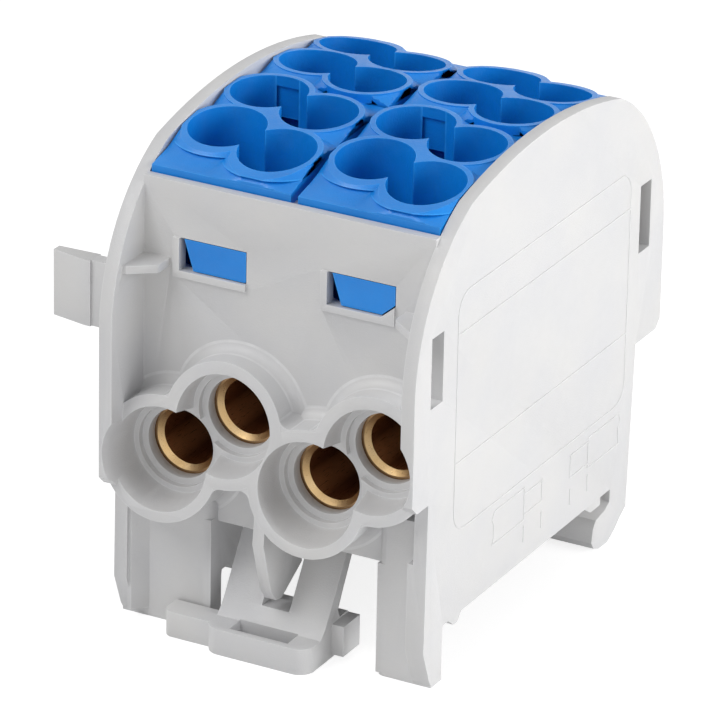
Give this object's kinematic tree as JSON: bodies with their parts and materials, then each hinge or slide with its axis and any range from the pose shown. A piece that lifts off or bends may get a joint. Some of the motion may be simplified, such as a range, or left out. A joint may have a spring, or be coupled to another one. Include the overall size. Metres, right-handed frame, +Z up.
{
  "type": "tap connector",
  "caption": "Rail-mounted tap connector: light grey moulded housing with brass clamp blocks, staggered wire entries, blue finger-safe screw covers, side snap pegs and a sprung rail foot.",
  "frame": {"origin": "centre of the 35 mm rail's seat, midway between the side panels, in the plane of the two seat lips", "axes": "+X to the side panel with the snap slots, along the rail; +Y to the rear with the fixed claw; +Z up, away from the rail"},
  "size_m": [0.0415, 0.0527, 0.0499],
  "materials": {
    "housing": "light grey moulded polyamide, fine satin grain",
    "latch": "light grey moulded polyamide, fine satin grain",
    "cover": "satin blue moulded plastic",
    "brass": "drawn brass, drilled",
    "screw": "bright zinc plate"
  },
  "bodies": {
    "body": {"housing": "housing", "cover_front_left": "cover", "cover_front_right": "cover", "cover_rear_left": "cover", "cover_rear_right": "cover", "clamp_block_left": "brass", "clamp_block_right": "brass"},
    "screw_1_body": {"screw_1": "screw"},
    "screw_2_body": {"screw_2": "screw"},
    "screw_3_body": {"screw_3": "screw"},
    "screw_4_body": {"screw_4": "screw"},
    "screw_5_body": {"screw_5": "screw"},
    "screw_6_body": {"screw_6": "screw"},
    "screw_7_body": {"screw_7": "screw"},
    "screw_8_body": {"screw_8": "screw"},
    "screw_9_body": {"screw_9": "screw"},
    "screw_10_body": {"screw_10": "screw"},
    "screw_11_body": {"screw_11": "screw"},
    "screw_12_body": {"screw_12": "screw"},
    "screw_13_body": {"screw_13": "screw"},
    "screw_14_body": {"screw_14": "screw"},
    "screw_15_body": {"screw_15": "screw"},
    "screw_16_body": {"screw_16": "screw"},
    "latch_body": {"rail_latch": "latch"}
  },
  "joints": [
    {"name": "screw_1_turn_in", "type": "slide", "parent": "body", "child": "screw_1_body", "axis": [0, 0, -1], "range_m": [0, 0.004]},
    {"name": "screw_2_turn_in", "type": "slide", "parent": "body", "child": "screw_2_body", "axis": [0, 0, -1], "range_m": [0, 0.004]},
    {"name": "screw_3_turn_in", "type": "slide", "parent": "body", "child": "screw_3_body", "axis": [0, 0, -1], "range_m": [0, 0.004]},
    {"name": "screw_4_turn_in", "type": "slide", "parent": "body", "child": "screw_4_body", "axis": [0, 0, -1], "range_m": [0, 0.004]},
    {"name": "screw_5_turn_in", "type": "slide", "parent": "body", "child": "screw_5_body", "axis": [0, 0, -1], "range_m": [0, 0.004]},
    {"name": "screw_6_turn_in", "type": "slide", "parent": "body", "child": "screw_6_body", "axis": [0, 0, -1], "range_m": [0, 0.004]},
    {"name": "screw_7_turn_in", "type": "slide", "parent": "body", "child": "screw_7_body", "axis": [0, 0, -1], "range_m": [0, 0.004]},
    {"name": "screw_8_turn_in", "type": "slide", "parent": "body", "child": "screw_8_body", "axis": [0, 0, -1], "range_m": [0, 0.004]},
    {"name": "screw_9_turn_in", "type": "slide", "parent": "body", "child": "screw_9_body", "axis": [0, 0, -1], "range_m": [0, 0.004]},
    {"name": "screw_10_turn_in", "type": "slide", "parent": "body", "child": "screw_10_body", "axis": [0, 0, -1], "range_m": [0, 0.004]},
    {"name": "screw_11_turn_in", "type": "slide", "parent": "body", "child": "screw_11_body", "axis": [0, 0, -1], "range_m": [0, 0.004]},
    {"name": "screw_12_turn_in", "type": "slide", "parent": "body", "child": "screw_12_body", "axis": [0, 0, -1], "range_m": [0, 0.004]},
    {"name": "screw_13_turn_in", "type": "slide", "parent": "body", "child": "screw_13_body", "axis": [0, 0, -1], "range_m": [0, 0.004]},
    {"name": "screw_14_turn_in", "type": "slide", "parent": "body", "child": "screw_14_body", "axis": [0, 0, -1], "range_m": [0, 0.004]},
    {"name": "screw_15_turn_in", "type": "slide", "parent": "body", "child": "screw_15_body", "axis": [0, 0, -1], "range_m": [0, 0.004]},
    {"name": "screw_16_turn_in", "type": "slide", "parent": "body", "child": "screw_16_body", "axis": [0, 0, -1], "range_m": [0, 0.004]},
    {"name": "latch_flex", "type": "hinge", "parent": "body", "child": "latch_body", "pos_m": [0, -0.0151, 0.0077], "axis": [-1, 0, 0], "range_deg": [0, 11], "stiffness_Nm_per_rad": 0.05, "springref_deg": -5.73}
  ]
}
